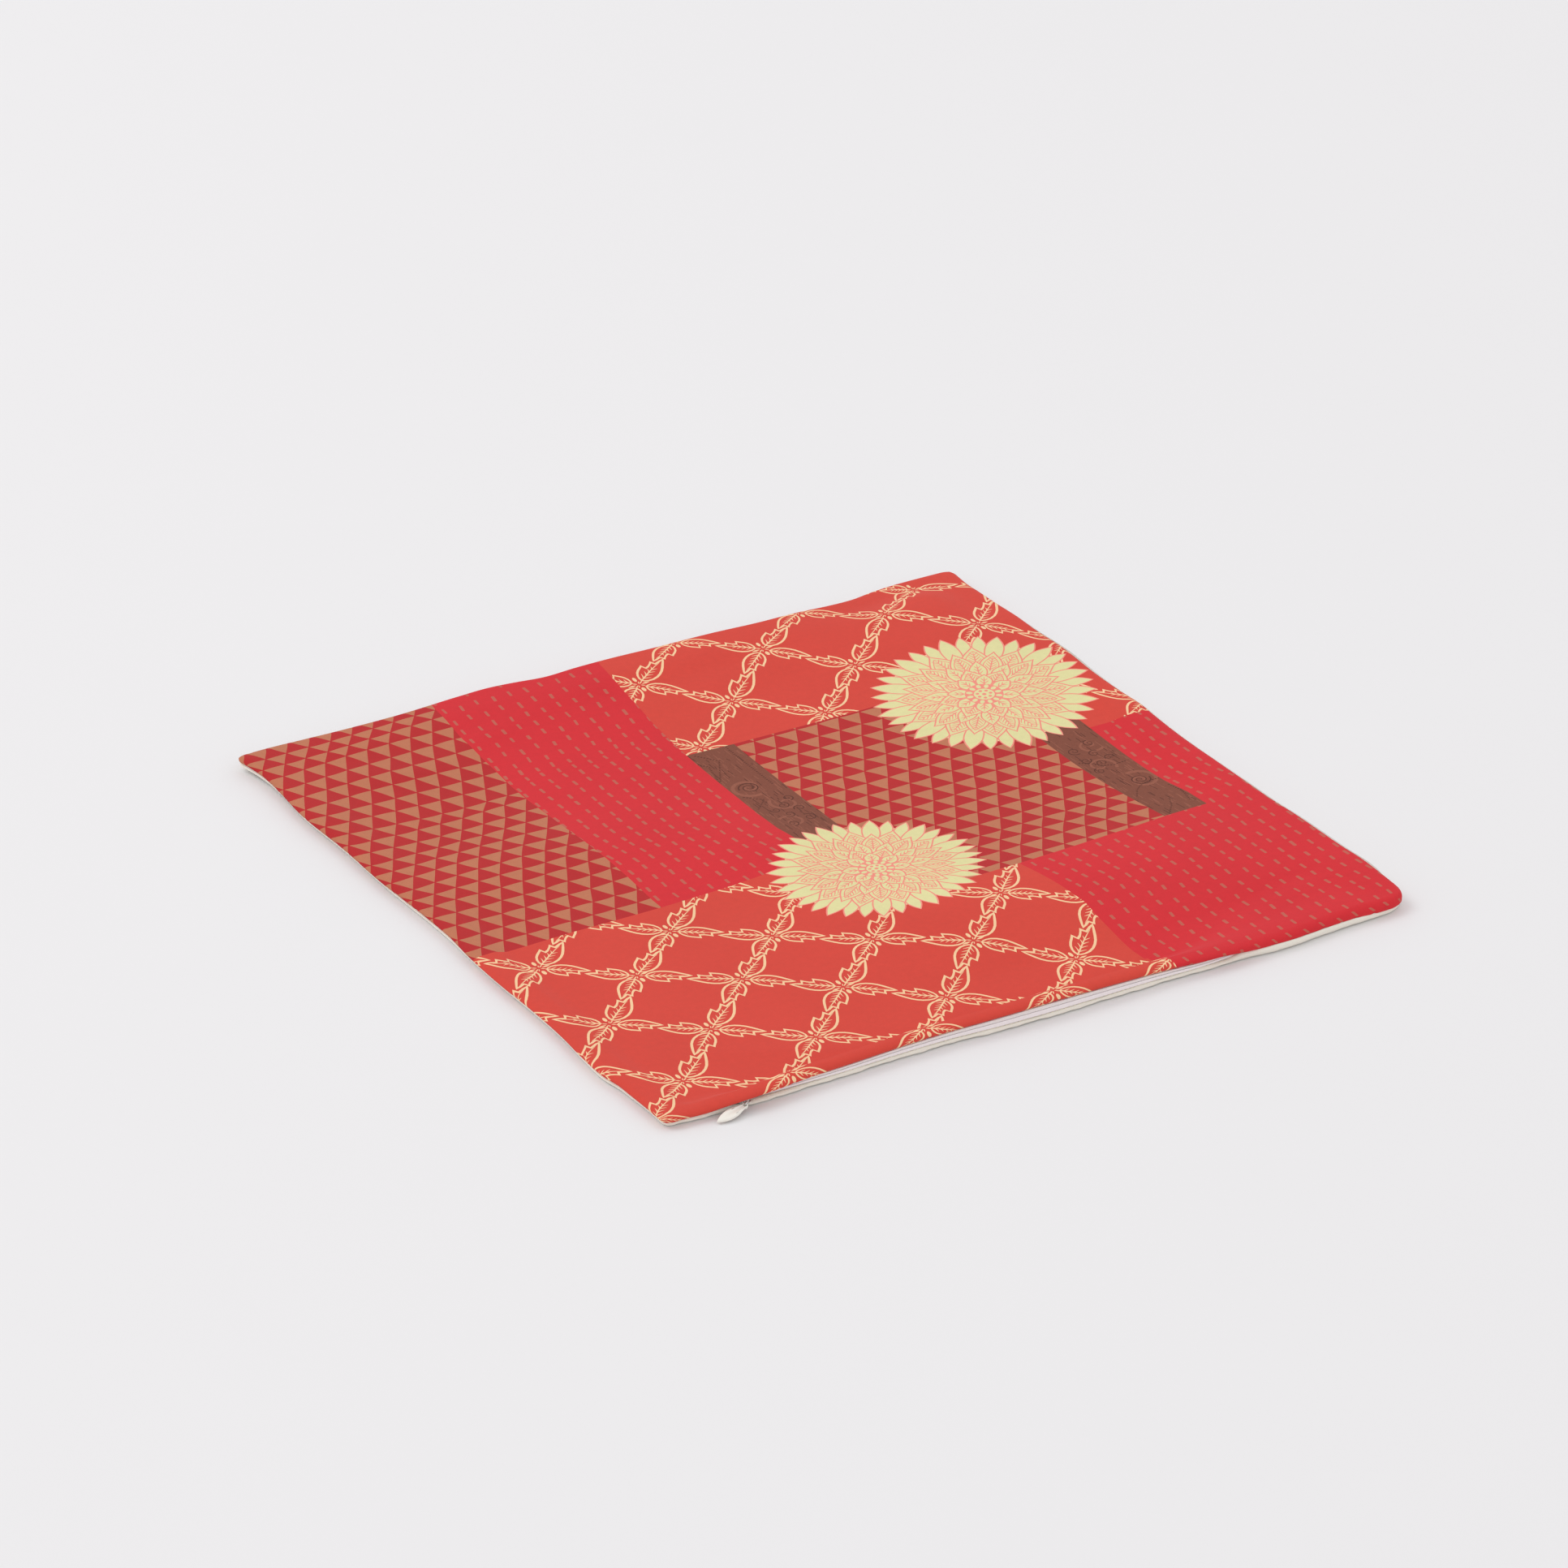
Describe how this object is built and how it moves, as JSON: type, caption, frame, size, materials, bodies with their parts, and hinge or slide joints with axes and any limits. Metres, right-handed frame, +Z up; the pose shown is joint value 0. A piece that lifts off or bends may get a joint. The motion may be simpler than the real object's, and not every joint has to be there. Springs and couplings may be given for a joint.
{
  "type": "cushion cover",
  "caption": "Empty square cushion cover lying flat, with a printed patchwork front, a plain back and a hidden zip along one side.",
  "frame": {"origin": "middle of the cover's outline, on the surface it lies on", "axes": "+Z up, out of the printed front; the zip runs along the -Y side with its slider near the -X end"},
  "size_m": [0.4028, 0.409, 0.0106],
  "materials": {
    "printed_cotton": "matte printed plain-weave cotton",
    "plain_cotton": "matte unbleached cotton",
    "ribbed_tape": "ribbed woven zip tape",
    "smooth_tape": "smooth woven zip tape",
    "nickel": "polished nickel plate",
    "white_enamel": "glossy off-white"
  },
  "bodies": {
    "root": {"front_panel": "printed_cotton", "back_panel": "plain_cotton", "zip_tape_front": "ribbed_tape", "zip_tape_back": "smooth_tape", "zip_slider": "nickel", "zip_ring": "nickel", "zip_pull": "white_enamel"}
  },
  "joints": []
}
